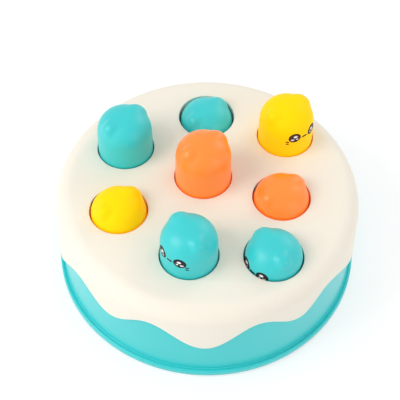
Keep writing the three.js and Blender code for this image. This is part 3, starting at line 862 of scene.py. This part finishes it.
RIM, IRIS, GLINT = 0, 1, 2
IRIS_SHARES = (0.8, 0.8)
PUPIL_SHARES = (0.44, 0.66)
GLINT_SHARES = [(-0.05, 0.14, 0.33, 0.25), (-0.19, -0.15, 0.2, 0.16), (0.17, -0.19, 0.29, 0.18)]
CHEEK_SHARES = [((0.48, -0.42), (0.65, -0.42)), ((0.48, -0.67), (0.63, -0.69))]
MOUTH_SHARES = (0.16, -0.1)
LAYER_SHARE = 0.04
SLOPE_STEP = 0.05 * MM


def ellipse_marks(middle, wide, high, rings=8, steps=48):
    """A disc of points, rings by steps, stretched to an ellipse: across and up."""
    share = np.linspace(0, 1, rings + 1)[:, None]
    turn = 2 * np.pi * np.arange(steps) / steps
    return middle[0] + share * wide / 2 * np.cos(turn), middle[1] + share * high / 2 * np.sin(turn)


def stroke_marks(start, end, width, rings=3, steps=12):
    """A stroke with round ends: its outline's two half circles and two straight sides, shrunk in
    rings onto the line between its ends."""
    start, end = np.asarray(start, float), np.asarray(end, float)
    run = (end - start) / np.linalg.norm(end - start)
    side = np.array([-run[1], run[0]])
    swing = np.linspace(-np.pi / 2, np.pi / 2, steps)[:, None]
    along = np.linspace(0, 1, steps)[1:-1, None]
    head = np.cos(swing) * run + np.sin(swing) * side
    still = np.ones_like(along)
    spine = np.concatenate([end + 0 * head, end + (start - end) * along,
                            start + 0 * head, start + (end - start) * along])
    out = np.concatenate([head, still * side, -head, -still * side]) * width / 2
    share = np.linspace(0, 1, rings + 1)[:, None]
    return spine[:, 0] + share * out[:, 0], spine[:, 1] + share * out[:, 1]


def on_skin(across, up, height, turn, lift):
    """Carries marks onto the cap, lifted along its normal: across becomes an angle about its axis
    from the face's middle, and up a height on its skin."""
    face_height = height - mole_sizes().face_drop
    azimuth = turn + across / cap_radius(face_height, height)
    z = face_height + up
    rise = cap_radius(z + SLOPE_STEP, height) - cap_radius(z - SLOPE_STEP, height)
    slope = rise / (2 * SLOPE_STEP)
    size = np.sqrt(1 + slope ** 2)
    reach = cap_radius(z, height) + lift / size
    return np.stack([reach * np.cos(azimuth), reach * np.sin(azimuth), z - lift * slope / size], axis=-1)


def face_marks():
    """The face's marks from its middle, across and up, each with its tone."""
    m = mole_sizes()
    wide, high = m.eye_width, m.eye_height
    reach = (foot_radius() - m.taper) * m.eye_turn
    marks = []
    for side in (-1, 1):
        def spot(share, rise):
            return side * (reach + share * wide), rise * high

        def disc(tone, wide_share, high_share, share=0, rise=0):
            marks.append((ellipse_marks(spot(share, rise), wide_share * wide, high_share * high), tone))

        disc(RIM, 1, 1)
        disc(IRIS, *IRIS_SHARES)
        disc(RIM, *PUPIL_SHARES)
        for share, rise, glint_wide, glint_high in GLINT_SHARES:
            disc(GLINT, glint_wide, glint_high, share, rise)
        for start, end in CHEEK_SHARES:
            marks.append((stroke_marks(spot(*start), spot(*end), m.stroke), RIM))
    half, rise = MOUTH_SHARES[0] * wide, MOUTH_SHARES[1] * high
    marks.append((stroke_marks((-half, rise), (half, rise), m.mouth_stroke), RIM))
    return marks


class CAKE_OT_face_prints(bpy.types.Operator):
    """Prints a face on each mole: two eyes with glints, a short mouth and two strokes on each cheek."""
    bl_idname = "cake_game.face_prints"
    bl_label = "Face prints"

    def execute(self, context):
        film = mole_sizes().film
        p = plastics()
        dark, light = printed("face_ink", p.print_dark), printed("glint_ink", p.print_light)
        brown, slate = printed("iris_ink", p.print_brown), printed("slate_ink", p.print_slate)
        for name, (tone, _, _) in MOLES.items():
            foot, height, _, turn = cap_frame(name)
            shell = Shell()
            for layer, ((across, up), ink) in enumerate(face_marks()):
                lift = film * (1 + LAYER_SHARE * layer)
                front, back = (on_skin(across, up, height, turn, side * lift) for side in (1, -1))
                shell.grid(np.concatenate([front, back[::-1]]) + foot, slot=ink)
            piece = shell.build(f"face_print_{name}", crease=60)
            settle(piece, [dark, slate if tone == "teal" else brown, light], f"mole_{name}")
        return {"FINISHED"}


# Foot pads, screws and the pieces inside

class CAKE_OT_feet(bpy.types.Operator):
    """Moulds the rubber foot pads."""
    bl_idname = "cake_game.feet"
    bl_label = "Foot pads"

    def execute(self, context):
        skin = moulded("foot_rubber", plastics().rubber, satin=0.7, mottle=0.08, grain=1.0, relief=0.05)
        soft = fittings().pad_round
        for i, node in enumerate(PAD_NODES):
            low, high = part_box(node)
            radius = (high.x - low.x) / 2
            edge = arc((radius - soft, soft), soft, -90, 0, 5)
            shell = Shell()
            shell.turned(np.concatenate([[[0, 0]], edge, [[radius, high.z], [0, high.z]]]), PAD_STEPS,
                         centre_of(node).xy)
            settle(shell.build(f"foot_pad_{i + 1}"), [skin], "root", [node])
        return {"FINISHED"}


# A screw's head: its crown's height as a share of the head's, how steeply the crown falls to its
# edge, and the radii of its rings as shares of the head's
CROWN_SHARE = 0.55
CROWN_FALL = 2.6
RING_SHARES = np.array([*np.linspace(0, 0.72, 30), 0.85, 0.95, 1])


def cross_depth(x, y):
    """Depth of a cross recess at plan points: two slots that cross, with steep walls."""
    f = fittings()

    def inside(limit, distance):
        return np.clip((limit - np.abs(distance)) / f.slot_draft, 0, 1)

    return f.slot_depth * np.maximum(inside(f.slot_half, y) * inside(f.slot_reach, x),
                                     inside(f.slot_half, x) * inside(f.slot_reach, y))


class CAKE_OT_case_screws(bpy.types.Operator):
    """Turns the case screws, with a domed head and a cross recess."""
    bl_idname = "cake_game.case_screws"
    bl_label = "Case screws"

    def execute(self, context):
        f = fittings()
        edge = f.head_height * CROWN_SHARE
        crown = np.column_stack([f.head_radius * RING_SHARES, edge * RING_SHARES ** CROWN_FALL])
        head = turned_points(crown, HOLE_STEPS)
        head[..., 2] += cross_depth(head[..., 0], head[..., 1])
        for i, node in enumerate(SCREW_NODES):
            low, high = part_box(node)
            x, y = centre_of(node).xy
            tip = high.z - low.z
            side = [[f.head_radius, edge], [f.head_radius, f.head_height], [f.shank_radius, f.head_height],
                    [f.shank_radius, tip - f.shank_radius], [0, tip]]
            shell = Shell()
            for patch in (head, turned_points(side, HOLE_STEPS)):
                shell.grid(patch + np.array((x, y, low.z)))
            settle(shell.build(f"case_screw_turned_{i + 1}"), [steel_skin()], "root", [node])
        return {"FINISHED"}


class CAKE_OT_inner_pieces(bpy.types.Operator):
    """Finishes the CAD pieces inside the housing: levers, plungers, pins and cap screws."""
    bl_idname = "cake_game.inner_pieces"
    bl_label = "Inner pieces"

    def execute(self, context):
        for name, node in frame["nodes"].items():
            if not node.hide_render:
                steel = name.startswith(("pivot_pin", "cap_screw"))
                node.data.materials.clear()
                node.data.materials.append(steel_skin() if steel else plastic("white"))
        return {"FINISHED"}


# Studio

# Lamps: place and side in metres, power in watts and tint
LAMPS = {
    "key": ((-0.75, -0.3, 0.8), 0.6, 4.6, (1.0, 0.985, 0.96)),
    "left fill": ((-0.9, -0.65, 0.3), 0.6, 0.9, (0.95, 0.98, 1.0)),
    "right fill": ((0.8, -0.6, 0.45), 0.6, 1.3, (1.0, 0.97, 0.94)),
    "rim": ((0.6, 0.65, 0.6), 0.5, 1.5, (1.0, 0.98, 0.95)),
}
LAMP_AIM = Vector((0, 0, 0.05))


class CAKE_OT_camera(bpy.types.Operator):
    """Places the camera in front of the toy and above it."""
    bl_idname = "cake_game.camera"
    bl_label = "Camera"

    def execute(self, context):
        s = context.scene.cake_studio
        spin = Matrix.Rotation(s.turn, 3, "Z")
        eye = spin @ Vector((0, -s.distance * math.cos(s.elevation), s.distance * math.sin(s.elevation)))
        ahead = (spin @ Vector((s.aim_side, 0, s.aim_height)) - eye).normalized()
        level = ahead.cross(UP).normalized()
        lift = level.cross(ahead)
        across = level * math.cos(s.roll) + lift * math.sin(s.roll)
        upward = lift * math.cos(s.roll) - level * math.sin(s.roll)
        data = bpy.data.cameras.new("camera")
        data.lens = s.lens
        data.sensor_width = 36
        camera = linked("camera", data)
        axes = Matrix((across, upward, -ahead)).transposed().to_4x4()
        camera.matrix_world = Matrix.Translation(eye) @ axes
        context.scene.camera = camera
        return {"FINISHED"}


def by_ray(tree, lit, seen):
    """One value for the rays that light the toy, and another for those that come from the camera,
    a glossy or a transmitted bounce."""
    path = add_node(tree, "ShaderNodeLightPath").outputs
    first = maths(tree, "MAXIMUM", path["Is Camera Ray"], path["Is Glossy Ray"])
    switch = maths(tree, "MAXIMUM", first, path["Is Transmission Ray"])
    level = add_node(tree, "ShaderNodeMapRange", {"Value": switch, "To Min": lit, "To Max": seen})
    return level.outputs[0]


def pale_floor(studio):
    """A floor that looks white to the camera, keeps the toy's shadow and lights it plainly."""
    span = studio.floor_span
    mesh = bpy.data.meshes.new("floor")
    corners = [(-span, -span, 0), (span, -span, 0), (span, span, 0), (-span, span, 0)]
    mesh.from_pydata(corners, [], [(0, 1, 2, 3)])
    material = bpy.data.materials.new("pale_floor")
    material.use_nodes = True
    tree = material.node_tree
    feed(tree, tree.nodes["Principled BSDF"], {
        "Base Color": by_ray(tree, studio.floor_pale, studio.floor_seen), "Roughness": 0.9,
        "Specular IOR Level": 0.0, "Emission Color": (1, 1, 1, 1),
        "Emission Strength": by_ray(tree, 0.0, studio.floor_glow)})
    mesh.materials.append(material)
    linked("floor", mesh)


def white_world(studio):
    """A world that lights the toy by the sky's strength and shows white to the camera."""
    world = bpy.data.worlds.new("studio")
    world.use_nodes = True
    bpy.context.scene.world = world
    tree = world.node_tree
    feed(tree, tree.nodes["Background"], {
        "Color": (1, 1, 1, 1), "Strength": by_ray(tree, studio.sky, 1.0)})


class CAKE_OT_studio(bpy.types.Operator):
    """Lays the pale floor and sets the soft light."""
    bl_idname = "cake_game.studio"
    bl_label = "Studio"

    def execute(self, context):
        scene = context.scene
        scene.view_settings.view_transform = "Standard"
        pale_floor(scene.cake_studio)
        white_world(scene.cake_studio)
        for name, (place, side, power, tint) in LAMPS.items():
            data = bpy.data.lights.new(name, "AREA")
            data.size = side
            data.energy = power
            data.color = tint
            lamp = linked(name, data)
            lamp.location = place
            lamp.rotation_euler = (LAMP_AIM - Vector(place)).to_track_quat("-Z", "Y").to_euler()
        return {"FINISHED"}


PIECES = (
    CAKE_OT_camera,
    CAKE_OT_icing_cover,
    CAKE_OT_drum_wall,
    CAKE_OT_base_tray,
    CAKE_OT_mole_caps,
    CAKE_OT_face_prints,
    CAKE_OT_feet,
    CAKE_OT_case_screws,
    CAKE_OT_inner_pieces,
    CAKE_OT_studio,
)

GROUPS = {
    "cake_housing": HousingSizes,
    "cake_fittings": FittingSizes,
    "cake_moles": MoleSizes,
    "cake_colours": PlasticColours,
    "cake_studio": StudioSettings,
}


class CAKE_PT_panel(bpy.types.Panel):
    """Lists the toy's pieces, sizes and colours in the sidebar."""
    bl_label = "Cake Game"
    bl_idname = "CAKE_PT_panel"
    bl_space_type = "VIEW_3D"
    bl_region_type = "UI"
    bl_category = "Cake Game"

    def draw(self, context):
        for piece in PIECES:
            self.layout.operator(piece.bl_idname)
        for name, group in GROUPS.items():
            box = self.layout.box()
            for setting in group.__annotations__:
                box.prop(getattr(context.scene, name), setting)


CLASSES = (*GROUPS.values(), *PIECES, CAKE_PT_panel)


def register():
    for item in CLASSES:
        bpy.utils.register_class(item)
    for name, group in GROUPS.items():
        setattr(bpy.types.Scene, name, PointerProperty(type=group))


def unregister():
    for name in GROUPS:
        delattr(bpy.types.Scene, name)
    for item in reversed(CLASSES):
        bpy.utils.unregister_class(item)


def main():
    register()
    for piece in PIECES:
        family, action = piece.bl_idname.split(".")
        getattr(getattr(bpy.ops, family), action)()


if __name__ == "__main__":
    main()
